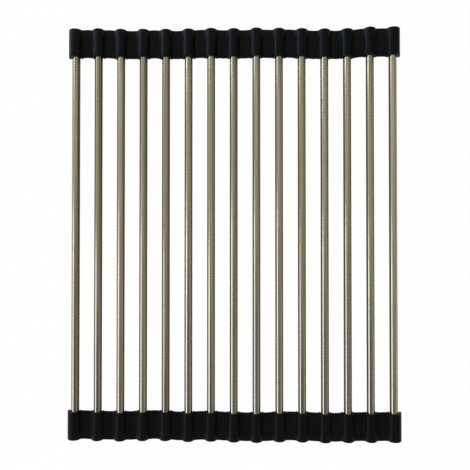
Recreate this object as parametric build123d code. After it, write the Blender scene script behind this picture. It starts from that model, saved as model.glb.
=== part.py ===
from build123d import *
import os

# Roll-up dish drying rack: steel tubes side by side, gripped at both ends by a moulded
# silicone strip. A strip is one row of blind sleeves joined by flat webs, and the rack
# rolls up by bending every web. X runs across the tubes, Y along them and Z up. The
# origin is on the resting plane, under the middle of the rack.

# Driving dimensions, in millimetres
rod_count = 15
rod_pitch = 23.0
rod_diameter = 8.0
rod_wall = 0.5
rack_length = 418.0
strip_width = 28.5
sleeve_wall = 2.0
sleeve_end_wall = 2.5
web_thickness = 2.5

# Smaller sizes of the moulded strip
root_length = 2.0
root_bevel = 1.0
end_wall_extra = 1.5
foot_depth = 0.4

# Fits
grip_clearance = 0.02
rod_end_clearance = 1.0
cut_overrun = 1.0

# Sizes worked out from those above
rod_radius = rod_diameter / 2
sleeve_radius = rod_radius + sleeve_wall
axis_height = sleeve_radius - foot_depth
rod_length = rack_length - 2 * (sleeve_end_wall + rod_end_clearance)
socket_depth = strip_width - sleeve_end_wall
mouth_y = rack_length / 2 - strip_width
root_reach = sleeve_radius + root_length
widest_reach = max(root_reach, sleeve_radius + end_wall_extra)
bend_width = rod_pitch - 2 * root_reach
first_rod_x = -rod_pitch * (rod_count - 1) / 2


def rod_x(number):
    """Place of a rod's axis across the rack, counted from 1 at the -X end."""
    return first_rod_x + rod_pitch * (number - 1)


def steel_tube():
    """One thin-walled tube, cut square at both ends, lying along Y."""
    ring = Circle(rod_radius) - Circle(rod_radius - rod_wall)
    return Pos(0, rod_length / 2) * extrude(Plane.XZ * ring, amount=rod_length)


def bevelled_and_footed(outline):
    """A sleeve's outline with bevels where it meets its webs, and with a flat foot."""

    def beside_web(corner):
        return abs(corner.X) < sleeve_radius and abs(corner.Y) < web_thickness

    outline = chamfer(outline.vertices().filter_by(beside_web), root_bevel)
    under_foot = Rectangle(2 * widest_reach, sleeve_radius, align=(Align.CENTER, Align.MAX))
    return outline - Pos(0, -axis_height) * under_foot


def middle_section():
    """Outline, seen along Y, of a sleeve with a web on either side."""
    roots = Rectangle(2 * root_reach, web_thickness)
    return bevelled_and_footed(Circle(sleeve_radius) + roots)


def end_section():
    """Outline of the outermost sleeve at the +X end, whose outer wall is the thicker one."""
    drawn_out = Pos(end_wall_extra / 2, 0) * SlotCenterToCenter(end_wall_extra, 2 * sleeve_radius)
    root = Rectangle(root_reach, web_thickness, align=(Align.MAX, Align.CENTER))
    return bevelled_and_footed(drawn_out + root)


def back_sleeve(section):
    """A blind sleeve at the +Y end, open towards the middle of the rack."""
    body = extrude(Plane.XZ * section, amount=-strip_width)
    bore = Circle(rod_radius + grip_clearance)
    socket = extrude(Plane.XZ * bore, amount=-(socket_depth + cut_overrun))
    return Pos(0, mouth_y) * (body - Pos(0, -cut_overrun) * socket)


def back_web():
    """The flat of silicone that bends between two roots at the +Y end."""
    flat = Box(bend_width, strip_width, web_thickness)
    return Pos(0, mouth_y + strip_width / 2) * flat


def at_both_ends(back_piece):
    """The +Y piece and its twin at the -Y end, as two separate solids."""
    return Compound([mirror(back_piece, about=Plane.XZ), back_piece])


def rack_pieces():
    """Every piece of the rack, by name."""
    pieces = {}
    tube = steel_tube()
    middle_sleeves = at_both_ends(back_sleeve(middle_section()))
    last_sleeve = back_sleeve(end_section())
    outermost_sleeves = {
        1: at_both_ends(mirror(last_sleeve, about=Plane.YZ)),
        rod_count: at_both_ends(last_sleeve),
    }
    webs = at_both_ends(back_web())
    for number in range(1, rod_count + 1):
        place = Pos(rod_x(number), 0, axis_height)
        pieces[f"rod_{number:02d}"] = place * tube
        pieces[f"sleeve_pair_{number:02d}"] = place * outermost_sleeves.get(number, middle_sleeves)
    for number in range(1, rod_count):
        place = Pos(rod_x(number) + rod_pitch / 2, 0, axis_height)
        pieces[f"web_pair_{number:02d}"] = place * webs
    return pieces


os.makedirs("parts", exist_ok=True)
for name, piece in rack_pieces().items():
    export_step(piece, f"parts/{name}.step")
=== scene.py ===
import math

import bmesh
import bpy
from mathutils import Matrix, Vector


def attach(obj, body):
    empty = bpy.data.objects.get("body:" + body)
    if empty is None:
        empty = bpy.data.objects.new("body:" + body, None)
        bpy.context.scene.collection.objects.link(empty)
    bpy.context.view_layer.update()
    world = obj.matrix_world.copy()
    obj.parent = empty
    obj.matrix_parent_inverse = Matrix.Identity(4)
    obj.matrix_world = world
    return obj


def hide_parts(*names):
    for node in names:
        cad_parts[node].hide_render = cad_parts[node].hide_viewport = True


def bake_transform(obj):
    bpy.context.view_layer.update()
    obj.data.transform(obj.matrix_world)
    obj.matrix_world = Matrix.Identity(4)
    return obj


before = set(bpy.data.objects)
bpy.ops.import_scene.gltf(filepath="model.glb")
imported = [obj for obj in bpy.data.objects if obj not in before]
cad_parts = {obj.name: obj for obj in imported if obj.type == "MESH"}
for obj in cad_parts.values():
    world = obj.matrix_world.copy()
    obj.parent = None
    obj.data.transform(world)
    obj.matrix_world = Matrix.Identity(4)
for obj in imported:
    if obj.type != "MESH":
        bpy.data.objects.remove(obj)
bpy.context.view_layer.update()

# Sizes of the rack, in metres, as the CAD has them
mm = 0.001
rod_count = 15
rod_pitch = 23.0 * mm
rod_radius = 4.0 * mm
rack_half_length = 209.0 * mm
strip_width = 28.5 * mm
sleeve_radius = 6.0 * mm
axis_height = 5.6 * mm
web_thickness = 2.5 * mm
root_reach = 8.0 * mm
socket_radius = 4.02 * mm
mouth_y = rack_half_length - strip_width
half_web = web_thickness / 2
web_half_width = rod_pitch / 2 - root_reach

# The outermost walls stay just inside the CAD's, and the sockets are a little shallower, so
# that a sleeve which has crept inwards still closes over the end of its tube.
end_wall_extra = 1.49 * mm
socket_bottom = 206.2 * mm

# Roundings that the mould leaves on the silicone
root_fillet = 1.3 * mm
outer_edge_round = 0.6 * mm
mouth_edge_round = 0.3 * mm
mouth_lead_in = 0.25 * mm

# A sleeve's flanks run down to its webs a little wider than a true round
flank_spread = 1.06

# The webs lie a little inwards of the sleeves. A sleeve bulges at its outer end, and the
# round of its mouth stands back between two small lips.
web_set_back = 0.42 * mm
bulge_half_width = 5.3 * mm
mouth_set_back = 0.5 * mm
mouth_half_width = 3.9 * mm
mouth_ease = 1.4 * mm
lip_reach = 0.3 * mm
lip_off_axis = 5.4 * mm
lip_half_width = 1.6 * mm

# How far each sleeve has crept inwards along its tube, in millimetres, from the -X end
back_creep = (0.0, 0.0, 0.7, 0.85, 0.95, 0.75, 0.35, 0.7, 0.3, 0.65, 1.15, 1.6, 1.45, 0.05, 0.0)
front_creep = (1.15, 0.75, 0.55, 1.1, 1.25, 0.5, 0.95, 0.25, 0.0, 0.7, 0.65, 0.0, 0.35, 0.55, 0.75)

# How far the middle of each web lies inwards of a line between its two sleeves, in
# millimetres, from the -X end
back_sag = (-0.4, -0.35, 0.25, -0.6, 0.4, -0.3, 0.25, 0.4, 0.1, -0.4, 0.5, 0.55, -0.2, -0.15)
front_sag = (0.25, -0.05, -0.2, 0.5, -0.5, 0.3, -0.05, -0.25, -0.25, 0.35, -0.05, -0.35, 0.2, 0.15)

# Shares of the pitch: the strip is level over the first next to a rod, and eases to the next
# sleeve's creep over the second
level_share = 0.17
ease_share = 0.66

# How finely the curves are divided
fillet_steps = 6
crown_steps = 14
belly_steps = 12
edge_steps = 5
flat_steps = 4
run_steps = 6
bend_steps = 16

# Limits of the mesh work
same_place = 1e-7
on_axis = 0.1 * mm
sharpest_corner = 0.5
merge_distance = 0.002 * mm
smooth_below = 30

# The steel's colours: along its drawn lines, where it was handled, and a painted shade down its
# flanks
dark_steel = (0.40, 0.355, 0.24)
light_steel = (0.80, 0.755, 0.56)
handled_steel = (0.40, 0.35, 0.24)
line_steel = (0.68, 0.635, 0.45)
painted_shade_flank_steel = (0.12, 0.109, 0.084)
steel_edge_tint = (0.25, 0.23, 0.2)

# How much of the steel's tone is painted light that grows towards the +X end of the rack, and how
# much comes from the tube itself
painted_light_across_rack = 1.8
tone_of_tube = 0.8

# A tube is far from its neighbours in the noise that gives it a tone and a bow of its own
tube_spacing = 7.3
tube_tone_scale = 1.0
tube_bow_scale = 3.0
tube_bow_depth = 20.0 * mm
drawn_line_depth = 0.02 * mm
drawn_line_bump = 0.5

# The silicone's colours
deep_silicone = (0.0006, 0.0009, 0.0006)
rubbed_silicone = (0.0012, 0.0015, 0.0011)
dust = (0.05, 0.05, 0.048)
silicone_shine_tint = (0.86, 0.94, 1.0)
silicone_sheen_tint = (0.8, 0.92, 1.0)
silicone_grain_scale = 2600.0
silicone_grain_depth = 0.03 * mm
silicone_grain_bump = 0.3

# The white table
table_half = 4.0
table_white = (0.92, 0.92, 0.92)
pure_white = (1.0, 1.0, 1.0)
table_glow_share = 0.985

# Brightness of the room above the table: the ceiling from front to back, and the wall at
# the right from front to back
front_end, ceiling_front, ceiling_back, bright_band, back_end = 0.07, 0.13, 0.46, 0.55, 0.13
wall_front, wall_back = 0.34, 0.22
room_tint = (1.0, 0.955, 0.87)

# The soft lamps: name, place, point aimed at, width and height, power in watts, colour
window_colour = (0.72, 0.77, 0.95)
low_colour = (0.62, 0.72, 1.0)
fill_colour = (1.0, 0.98, 0.95)
soft_lamps = (
    ("left_window", (-1.1, -0.52, 0.79), (0, -0.52, 0.79), (1.12, 0.92), 6.1, window_colour),
    ("far_window", (-1.1, 0.97, 0.64), (0, 0.97, 0.64), (0.8, 1.0), 5.4, window_colour),
    ("low_back_window", (-1.1, 0.9, 0.215), (0, 0.9, 0.215), (0.5, 0.19), 8.5, low_colour),
    ("low_front_window", (-1.1, -0.9, 0.215), (0, -0.9, 0.215), (0.5, 0.19), 2.2, low_colour),
    ("front_fill", (0.15, -1.5, 0.9), (0, 0, 0), (1.0, 0.6), 9.0, fill_colour),
    ("back_fill", (0.1, 1.5, 0.9), (0, 0, 0), (1.0, 0.6), 9.0, fill_colour),
)

# The camera: its place and tilt, and its lens from the photograph's side and focal length
# in pixels
camera_place = (12.06 * mm, -9.22 * mm, 604.1 * mm)
camera_tilt = (0.0140, 0.0180, -0.0001)
sensor_width = 36.0
image_side = 470.0
focal_pixels = 590.0
nearest_seen, farthest_seen = 0.01, 20.0


def rod_x(number):
    """Place of a rod's axis across the rack, counted from 1 at the -X end."""
    return rod_pitch * (number - (rod_count + 1) / 2)


def kept_between(value, low, high):
    """The value, held at a limit where it would pass it."""
    return min(max(value, low), high)


def eased(share):
    """A share from 0 to 1 that starts and stops softly."""
    return share * share * (3 - 2 * share)


def arc(centre, radius, start, end, steps):
    """Points along an arc, both angles in radians, the first and the last point included."""
    angles = [start + (end - start) * i / steps for i in range(steps + 1)]
    return [(centre[0] + radius * math.cos(a), centre[1] + radius * math.sin(a)) for a in angles]


# The silicone strips

def creep_at(x, side):
    """How far the strip lies inwards of its full reach: level over sleeves, eased over webs."""
    creep, sag = (back_creep, back_sag) if side > 0 else (front_creep, front_sag)
    place = kept_between(x / rod_pitch + (rod_count - 1) / 2, 0.0, rod_count - 1.0)
    left = min(int(place), rod_count - 2)
    share = eased(kept_between((place - left - level_share) / ease_share, 0.0, 1.0))
    on_line = creep[left] + (creep[left + 1] - creep[left]) * share
    return (on_line + sag[left] * 4 * share * (1 - share)) * mm


def stand_off(x, y):
    """Shift along Y that sets a sleeve's round end and mouth apart from the webs' edges."""
    last = rod_count - 1
    place = x / rod_pitch + last / 2
    nearest = kept_between(round(place), 0, last)
    off_axis = abs(place - nearest) * rod_pitch
    if place < 0 or place > last:
        off_axis = max(off_axis - end_wall_extra, 0.0)
    at_mouth = 1 - eased(kept_between((off_axis - mouth_half_width) / mouth_ease, 0.0, 1.0))
    lip = max(1 - ((off_axis - lip_off_axis) / lip_half_width) ** 2, 0.0)
    bulge = max(1 - (off_axis / bulge_half_width) ** 2, 0.0)
    along = kept_between((y - mouth_y) / strip_width, 0.0, 1.0)
    mouth_shift = (web_set_back + mouth_set_back) * at_mouth - lip_reach * lip
    return along * web_set_back * bulge + (1 - along) * mouth_shift - web_set_back


def strip_vertex(mesh, x, y, z, side, crept=True):
    """A vertex of the +Y (side 1) or -Y (side -1) strip; z is above the rods' axes."""
    if crept:
        y += stand_off(x, y) - creep_at(x, side)
    return mesh.verts.new((x, side * y, axis_height + z))


def quarter_outline(is_end, upper):
    """Right-hand side of a sleeve's outline, from its middle to the crown or the foot.

    On the strip's end side it is the thicker round wall; elsewhere it starts at the web's
    cut end.
    """
    if is_end:
        centre_x, start = end_wall_extra, 0.0
        points = [(end_wall_extra + sleeve_radius, 0.0)]
    else:
        fillet_z = half_web + root_fillet
        fillet_x = math.sqrt((sleeve_radius + root_fillet) ** 2 - fillet_z**2)
        centre_x, start = 0.0, math.atan2(fillet_z, fillet_x)
        points = [(root_reach, 0.0), (root_reach, half_web)]
        points += arc(
            (fillet_x, fillet_z), root_fillet, -math.pi / 2, start - math.pi, fillet_steps)
    if upper:
        points += arc((centre_x, 0), sleeve_radius, start, math.pi / 2, crown_steps)[1:]
        if not is_end:
            points = points[:2] + [(x * flank_spread, z) for x, z in points[2:]]
    else:
        foot_edge = math.asin(axis_height / sleeve_radius)
        points += arc((centre_x, 0), sleeve_radius, start, foot_edge, belly_steps)[1:]
    edge_x, edge_z = points[-1]
    steps = flat_steps if edge_x > on_axis else 0
    points += [(edge_x * (1 - i / steps), edge_z) for i in range(1, steps + 1)]
    return [(x, z if upper else -z) for x, z in points]


def sleeve_outline(left_is_end, right_is_end):
    """The whole outline of a sleeve with its web roots, anticlockwise as seen from -Y."""
    outline = []
    for upper, mirrored in ((True, False), (True, True), (False, True), (False, False)):
        part = quarter_outline(left_is_end if mirrored else right_is_end, upper)
        if mirrored:
            part = [(-x, z) for x, z in part]
        if upper == mirrored:
            part = part[::-1]
        outline += part[:-1]
    return outline


def drawn_in(outline, depth, left_is_end, right_is_end):
    """The outline moved inwards by depth, with the webs' cut ends kept in their planes."""
    if depth == 0:
        return list(outline)
    moved = []
    count = len(outline)
    for i, (x, z) in enumerate(outline):
        at_right_cut = not right_is_end and x > root_reach - same_place
        at_left_cut = not left_is_end and x < same_place - root_reach
        if at_right_cut or at_left_cut:
            moved.append((x, z * (1 - depth / half_web)))
            continue
        here = Vector((x, z))
        first = (here - Vector(outline[i - 1])).normalized()
        second = (Vector(outline[(i + 1) % count]) - here).normalized()
        inward = Vector((-first.y, first.x)) + Vector((-second.y, second.x))
        inward /= inward.length
        spread = max(inward.dot(Vector((-first.y, first.x))), sharpest_corner)
        here = here + inward * depth / spread
        moved.append((here.x, here.y))
    return moved


def strip_stations():
    """Places along Y and how far the outline is drawn in there, from the mouth outwards."""
    quarters = [math.pi / 2 * i / edge_steps for i in range(edge_steps + 1)]
    stations = [
        (mouth_y + mouth_edge_round * (1 - math.cos(a)), mouth_edge_round * (1 - math.sin(a)))
        for a in quarters
    ]
    start = stations[-1][0]
    run = rack_half_length - outer_edge_round - start
    stations += [(start + run * i / run_steps, 0.0) for i in range(1, run_steps)]
    stations += [
        (
            rack_half_length - outer_edge_round * (1 - math.sin(a)),
            outer_edge_round * (1 - math.cos(a)),
        )
        for a in quarters
    ]
    return stations


def add_ring(mesh, points, y, centre_x, side, crept=True):
    """A ring of vertices round a rod's axis at one place along Y."""
    return [strip_vertex(mesh, centre_x + x, y, z, side, crept) for x, z in points]


def join_rings(mesh, first, second):
    """Faces between two rings of the same length."""
    count = len(first)
    for i in range(count):
        mesh.faces.new((first[i], first[(i + 1) % count], second[(i + 1) % count], second[i]))


def add_sleeve(mesh, centre_x, side, left_is_end, right_is_end):
    """One blind sleeve at the +Y (side 1) or -Y (side -1) end of a rod."""
    outline = sleeve_outline(left_is_end, right_is_end)
    rings = [
        add_ring(mesh, drawn_in(outline, depth, left_is_end, right_is_end), y, centre_x, side)
        for y, depth in strip_stations()
    ]
    for first, second in zip(rings, rings[1:]):
        join_rings(mesh, first, second)
    angles = [math.atan2(z, x) for x, z in outline]

    def circle(radius):
        return [(radius * math.cos(a), radius * math.sin(a)) for a in angles]

    mouth = [
        add_ring(mesh, circle(socket_radius + mouth_lead_in), mouth_y, centre_x, side),
        add_ring(mesh, circle(socket_radius), mouth_y + mouth_lead_in, centre_x, side),
        add_ring(mesh, circle(socket_radius), socket_bottom, centre_x, side, crept=False),
    ]
    join_rings(mesh, mouth[0], rings[0])
    for first, second in zip(mouth, mouth[1:]):
        join_rings(mesh, second, first)
    mesh.faces.new(mouth[-1])
    face_ring = add_ring(mesh, circle(sleeve_radius / 2), rack_half_length, centre_x, side)
    join_rings(mesh, rings[-1], face_ring)
    mesh.faces.new(face_ring)


def add_web(mesh, centre_x, side):
    """One flat web at the +Y or -Y end, divided across into even strips."""
    stations = strip_stations()
    section = [(y, half_web - depth) for y, depth in stations]
    section.append((rack_half_length, 0.0))
    section += [(y, depth - half_web) for y, depth in reversed(stations)]
    section.append((mouth_y, 0.0))
    rings = []
    for i in range(bend_steps + 1):
        x = centre_x + web_half_width * (2 * i / bend_steps - 1)
        rings.append([strip_vertex(mesh, x, y, z, side) for y, z in section])
    for first, second in zip(rings, rings[1:]):
        join_rings(mesh, first, second)
    mesh.faces.new(rings[0])
    mesh.faces.new(rings[-1])


def finished_piece(name, mesh, material):
    """An object from a bmesh, with clean normals and its real edges kept sharp."""
    bmesh.ops.remove_doubles(mesh, verts=mesh.verts, dist=merge_distance)
    bmesh.ops.recalc_face_normals(mesh, faces=mesh.faces)
    data = bpy.data.meshes.new(name)
    mesh.to_mesh(data)
    mesh.free()
    data.materials.append(material)
    data.shade_smooth()
    data.set_sharp_from_angle(angle=math.radians(smooth_below))
    piece = bpy.data.objects.new(name, data)
    bpy.context.scene.collection.objects.link(piece)
    return piece


# Shader nodes

def feed(tree, socket, value):
    """Gives a socket a number, a colour, or what another socket puts out."""
    if isinstance(value, (int, float)):
        socket.default_value = value
    elif isinstance(value, tuple):
        socket.default_value = (*value, 1.0)
    else:
        tree.links.new(value, socket)


def math_node(tree, operation, first, second=None, clamp=False):
    """A Math node; first and second are sockets or numbers."""
    node = tree.nodes.new("ShaderNodeMath")
    node.operation = operation
    node.use_clamp = clamp
    feed(tree, node.inputs[0], first)
    if second is not None:
        feed(tree, node.inputs[1], second)
    return node.outputs[0]


def ramp_between(tree, value, low, high, bottom=0.0, top=1.0):
    """Maps value from low..high to bottom..top, smoothly and clamped."""
    node = tree.nodes.new("ShaderNodeMapRange")
    node.interpolation_type = "SMOOTHSTEP"
    labels = ("Value", "From Min", "From Max", "To Min", "To Max")
    for label, given in zip(labels, (value, low, high, bottom, top)):
        feed(tree, node.inputs[label], given)
    return node.outputs["Result"]


def noise_node(tree, place, scale, detail, roughness=0.5):
    """A Noise Texture's value at place."""
    node = tree.nodes.new("ShaderNodeTexNoise")
    labels = ("Vector", "Scale", "Detail", "Roughness")
    for label, given in zip(labels, (place, scale, detail, roughness)):
        feed(tree, node.inputs[label], given)
    return node.outputs["Fac"]


def parts_of(tree, vector):
    """A vector's X, Y and Z."""
    node = tree.nodes.new("ShaderNodeSeparateXYZ")
    tree.links.new(vector, node.inputs["Vector"])
    return node.outputs


def blend_colours(tree, mask, first, second):
    """A Mix node of colours, the first where mask is 0 and the second where it is 1."""
    node = tree.nodes.new("ShaderNodeMix")
    node.data_type = "RGBA"
    for place, given in ((0, mask), (6, first), (7, second)):
        feed(tree, node.inputs[place], given)
    return node.outputs[2]


def bumped(tree, height, distance, strength, under=None):
    """A Bump node's normal, on top of another normal if one is given."""
    node = tree.nodes.new("ShaderNodeBump")
    node.inputs["Distance"].default_value = distance
    node.inputs["Strength"].default_value = strength
    tree.links.new(height, node.inputs["Height"])
    if under is not None:
        tree.links.new(under, node.inputs["Normal"])
    return node.outputs["Normal"]


# Node groups

def new_group(name, inputs, outputs):
    """An empty shader node group with Place and named numbers; returns its two end nodes too."""
    group = bpy.data.node_groups.new(name, "ShaderNodeTree")
    group.interface.new_socket("Place", in_out="INPUT", socket_type="NodeSocketVector")
    for label, value in inputs:
        socket = group.interface.new_socket(label, in_out="INPUT", socket_type="NodeSocketFloat")
        socket.default_value = value
    for label in outputs:
        group.interface.new_socket(label, in_out="OUTPUT", socket_type="NodeSocketFloat")
    return group, group.nodes.new("NodeGroupInput"), group.nodes.new("NodeGroupOutput")


def drawn_line_group():
    """Lines that drawing and polishing leave along a tube: fine ones, and a broader tone."""
    group, inlet, outlet = new_group(
        "drawn_lines", [("Line Scale", 900.0), ("Run Stretch", 0.012)], ["Lines", "Tone"])
    stretch = group.nodes.new("ShaderNodeCombineXYZ")
    stretch.inputs["X"].default_value = 1.0
    stretch.inputs["Z"].default_value = 1.0
    group.links.new(inlet.outputs["Run Stretch"], stretch.inputs["Y"])
    squeezed = group.nodes.new("ShaderNodeVectorMath")
    squeezed.operation = "MULTIPLY"
    group.links.new(inlet.outputs["Place"], squeezed.inputs[0])
    group.links.new(stretch.outputs["Vector"], squeezed.inputs[1])
    run = squeezed.outputs["Vector"]
    fine_scale = inlet.outputs["Line Scale"]
    broad_scale = math_node(group, "MULTIPLY", fine_scale, 0.5)
    group.links.new(noise_node(group, run, fine_scale, 4.0, 0.6), outlet.inputs["Lines"])
    group.links.new(noise_node(group, run, broad_scale, 2.0), outlet.inputs["Tone"])
    return group


def handling_group():
    """Soft smudges and settled dust: two masks from 0 to 1."""
    group, inlet, outlet = new_group(
        "handling_marks", [("Smudge Scale", 28.0), ("Speck Scale", 1500.0)], ["Smudge", "Specks"])
    place = inlet.outputs["Place"]
    smudge = noise_node(group, place, inlet.outputs["Smudge Scale"], 3.0, 0.55)
    speck = noise_node(group, place, inlet.outputs["Speck Scale"], 1.0)
    group.links.new(ramp_between(group, smudge, 0.42, 0.68), outlet.inputs["Smudge"])
    group.links.new(ramp_between(group, speck, 0.68, 0.78), outlet.inputs["Specks"])
    return group


def placed_group(tree, group, place, values):
    """One use of a node group in a material, with its own values."""
    node = tree.nodes.new("ShaderNodeGroup")
    node.node_tree = group
    tree.links.new(place, node.inputs["Place"])
    for label, value in values.items():
        node.inputs[label].default_value = value
    return node.outputs


# Materials

def new_material(name):
    """A material with its node tree, its Principled shader and the object's coordinates."""
    material = bpy.data.materials.new(name)
    material.use_nodes = True
    tree = material.node_tree
    place = tree.nodes.new("ShaderNodeTexCoord").outputs["Object"]
    return material, tree, tree.nodes["Principled BSDF"], place


def own_tube_place(tree, parts):
    """A place that changes only along a tube and is far from the places of other tubes."""
    number = math_node(tree, "ROUND", math_node(tree, "DIVIDE", parts["X"], rod_pitch))
    place = tree.nodes.new("ShaderNodeCombineXYZ")
    tree.links.new(math_node(tree, "MULTIPLY", number, tube_spacing), place.inputs["X"])
    tree.links.new(parts["Y"], place.inputs["Y"])
    return place.outputs["Vector"]


def steel_tone(tree, parts, own_place, line_tone):
    """From 0 to 1, how light the steel is: by its lines, by painted light that grows towards +X
    across the rack, and by its tube.
    """
    own = ramp_between(tree, noise_node(tree, own_place, tube_tone_scale, 0.0), 0.35, 0.65)
    own = math_node(tree, "MULTIPLY", own, tone_of_tube)
    # Painted light: the steel is made lighter towards the +X end of the rack.
    painted_light_across = math_node(tree, "MULTIPLY", parts["X"], painted_light_across_rack)
    tone = math_node(tree, "ADD", ramp_between(tree, line_tone, 0.36, 0.64), painted_light_across)
    tone = math_node(tree, "ADD", tone, own)
    return math_node(tree, "SUBTRACT", tone, tone_of_tube / 2, clamp=True)


def steel_tube_finish(drawn_lines, handling_marks):
    """Stainless tube with a warm satin polish, with a tone and a slight bow of its own, and with
    painted shade darkening its flanks.
    """
    material, tree, shader, place = new_material("satin_stainless_tube")
    lines = placed_group(tree, drawn_lines, place, {"Line Scale": 1000.0, "Run Stretch": 0.002})
    marks = placed_group(tree, handling_marks, place, {"Smudge Scale": 22.0})
    parts = parts_of(tree, place)
    own_place = own_tube_place(tree, parts)

    tone = steel_tone(tree, parts, own_place, lines["Tone"])
    handled = math_node(tree, "MULTIPLY", marks["Smudge"], 0.3)
    streaks = ramp_between(tree, lines["Lines"], 0.35, 0.7)
    # Painted shade: the steel's colour turns dark down both flanks of the tube, away from its top
    # and bottom.
    rise = math_node(tree, "SUBTRACT", parts["Z"], axis_height)
    rise = math_node(tree, "DIVIDE", rise, rod_radius)
    outside_flank_shade = ramp_between(tree, math_node(tree, "ABSOLUTE", rise), 0.5, 0.84)
    colour = blend_colours(tree, tone, dark_steel, light_steel)
    colour = blend_colours(tree, handled, colour, handled_steel)
    colour = blend_colours(tree, streaks, colour, line_steel)
    colour = blend_colours(tree, outside_flank_shade, painted_shade_flank_steel, colour)
    tree.links.new(colour, shader.inputs["Base Color"])

    shader.inputs["Metallic"].default_value = 1.0
    feed(tree, shader.inputs["Specular Tint"], steel_edge_tint)
    smooth = ramp_between(tree, lines["Lines"], 0.25, 0.75, 0.16, 0.22)
    smudged = math_node(tree, "MULTIPLY", marks["Smudge"], 0.05)
    tree.links.new(math_node(tree, "ADD", smooth, smudged), shader.inputs["Roughness"])

    wave = math_node(tree, "SUBTRACT", 1.0, noise_node(tree, own_place, tube_bow_scale, 0.0))
    bow = bumped(tree, wave, tube_bow_depth, 1.0)
    scored = bumped(tree, lines["Lines"], drawn_line_depth, drawn_line_bump, bow)
    tree.links.new(scored, shader.inputs["Normal"])
    return material


def silicone_finish(handling_marks):
    """Matt black moulded silicone with a little dust."""
    material, tree, shader, place = new_material("black_moulded_silicone")
    marks = placed_group(
        tree, handling_marks, place, {"Smudge Scale": 35.0, "Speck Scale": 1800.0})
    grain = noise_node(tree, place, silicone_grain_scale, 2.0, 0.6)
    dusty = math_node(tree, "MULTIPLY", marks["Specks"], 0.08)
    colour = blend_colours(tree, marks["Smudge"], deep_silicone, rubbed_silicone)
    colour = blend_colours(tree, dusty, colour, dust)
    tree.links.new(colour, shader.inputs["Base Color"])

    shader.inputs["Specular IOR Level"].default_value = 0.16
    feed(tree, shader.inputs["Specular Tint"], silicone_shine_tint)
    shader.inputs["Sheen Weight"].default_value = 0.02
    shader.inputs["Sheen Roughness"].default_value = 0.4
    feed(tree, shader.inputs["Sheen Tint"], silicone_sheen_tint)
    tree.links.new(ramp_between(tree, grain, 0.3, 0.7, 0.45, 0.51), shader.inputs["Roughness"])
    moulded = bumped(tree, grain, silicone_grain_depth, silicone_grain_bump)
    tree.links.new(moulded, shader.inputs["Normal"])
    return material


def pale_floor_finish():
    """White table that keeps a faint shadow of the rack."""
    material = bpy.data.materials.new("white_table")
    material.use_nodes = True
    tree = material.node_tree
    tree.nodes.remove(tree.nodes["Principled BSDF"])
    lit = tree.nodes.new("ShaderNodeBsdfDiffuse")
    feed(tree, lit.inputs["Color"], table_white)
    glow = tree.nodes.new("ShaderNodeEmission")
    feed(tree, glow.inputs["Color"], pure_white)
    glow.inputs["Strength"].default_value = 1.0
    path = tree.nodes.new("ShaderNodeLightPath").outputs
    seen = math_node(tree, "ADD", path["Is Camera Ray"], path["Is Glossy Ray"])
    seen = math_node(tree, "ADD", seen, path["Is Transmission Ray"], clamp=True)
    mix = tree.nodes.new("ShaderNodeMixShader")
    tree.links.new(math_node(tree, "MULTIPLY", seen, table_glow_share), mix.inputs[0])
    tree.links.new(lit.outputs[0], mix.inputs[1])
    tree.links.new(glow.outputs[0], mix.inputs[2])
    tree.links.new(mix.outputs[0], tree.nodes["Material Output"].inputs["Surface"])
    return material


# The stage

def add_floor(material):
    """A wide flat table under the rack."""
    mesh = bmesh.new()
    corners = ((-1, -1), (1, -1), (1, 1), (-1, 1))
    mesh.faces.new([mesh.verts.new((table_half * x, table_half * y, 0.0)) for x, y in corners])
    data = bpy.data.meshes.new("table_top")
    mesh.to_mesh(data)
    mesh.free()
    data.materials.append(material)
    floor = bpy.data.objects.new("table_top", data)
    bpy.context.scene.collection.objects.link(floor)


def add_soft_lamp(name, place, aim, size, power, colour):
    """A rectangular area lamp that faces a point."""
    lamp = bpy.data.lights.new(name, "AREA")
    lamp.shape = "RECTANGLE"
    lamp.size, lamp.size_y = size
    lamp.energy = power
    lamp.color = colour
    holder = bpy.data.objects.new(name, lamp)
    holder.location = place
    holder.rotation_mode = "QUATERNION"
    holder.rotation_quaternion = (Vector(aim) - Vector(place)).to_track_quat("-Z", "Y")
    bpy.context.scene.collection.objects.link(holder)


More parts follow.
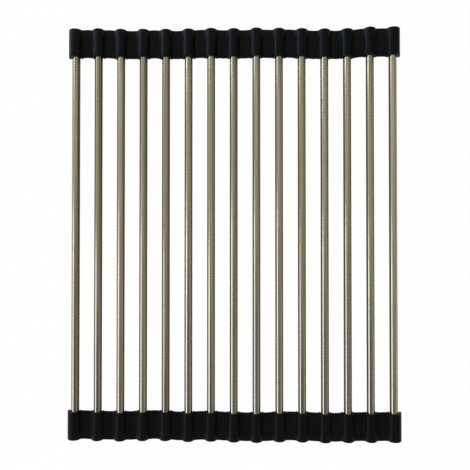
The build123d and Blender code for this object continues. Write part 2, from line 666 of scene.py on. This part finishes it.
def set_room_light():
    """Room light: white at the horizon, and above it a ceiling and a wall at the right.

    The ceiling brightens from front to back up to a band behind the rack and is dim beyond
    both ends; the wall at the right dims from front to back.
    """
    world = bpy.data.worlds.new("room")
    bpy.context.scene.world = world
    world.use_nodes = True
    tree = world.node_tree
    parts = parts_of(tree, tree.nodes.new("ShaderNodeTexCoord").outputs["Generated"])
    ceiling = ramp_between(tree, parts["Y"], -0.22, 0.12, ceiling_front, ceiling_back)
    ceiling = ramp_between(tree, parts["Y"], 0.18, 0.27, ceiling, bright_band)
    ceiling = ramp_between(tree, parts["Y"], 0.3, 0.34, ceiling, back_end)
    ceiling = ramp_between(tree, parts["Y"], -0.33, -0.275, front_end, ceiling)
    wall = ramp_between(tree, parts["Y"], -0.3, 0.2, wall_front, wall_back)
    to_right = ramp_between(tree, parts["X"], 0.2, 0.85)
    above = ramp_between(tree, to_right, 0.0, 1.0, ceiling, wall)
    upwards = ramp_between(tree, parts["Z"], 0.02, 0.14)
    room = tree.nodes["Background"].inputs
    tree.links.new(ramp_between(tree, upwards, 0.0, 1.0, 1.0, above), room["Strength"])
    tree.links.new(blend_colours(tree, upwards, pure_white, room_tint), room["Color"])


def add_camera():
    """The photograph's view: straight down from above the middle, very slightly tilted."""
    data = bpy.data.cameras.new("camera")
    data.sensor_fit = "HORIZONTAL"
    data.sensor_width = sensor_width
    data.lens = sensor_width * focal_pixels / image_side
    data.clip_start, data.clip_end = nearest_seen, farthest_seen
    camera = bpy.data.objects.new("camera", data)
    camera.location = camera_place
    camera.rotation_mode = "XYZ"
    camera.rotation_euler = camera_tilt
    bpy.context.scene.collection.objects.link(camera)
    bpy.context.scene.camera = camera


add_camera()
bpy.context.scene.view_settings.view_transform = "Standard"

drawn_lines = drawn_line_group()
handling_marks = handling_group()
steel = steel_tube_finish(drawn_lines, handling_marks)
silicone = silicone_finish(handling_marks)

for number in range(1, rod_count + 1):
    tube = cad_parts[f"rod_{number:02d}"]
    for place in tube.material_slots:
        place.material = steel

for number in range(1, rod_count + 1):
    mesh = bmesh.new()
    for side in (1, -1):
        add_sleeve(mesh, rod_x(number), side, number == 1, number == rod_count)
    piece = finished_piece(f"silicone_sleeves_{number:02d}", mesh, silicone)
    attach(piece, f"slat_{number:02d}")
    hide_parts(f"sleeve_pair_{number:02d}")

for number in range(1, rod_count):
    hinge_x = rod_x(number) + rod_pitch / 2
    mesh = bmesh.new()
    for side in (1, -1):
        add_web(mesh, hinge_x, side)
    piece = finished_piece(f"silicone_webs_{number:02d}", mesh, silicone)
    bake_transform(piece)
    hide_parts(f"web_pair_{number:02d}")

add_floor(pale_floor_finish())
set_room_light()
for lamp in soft_lamps:
    add_soft_lamp(*lamp)
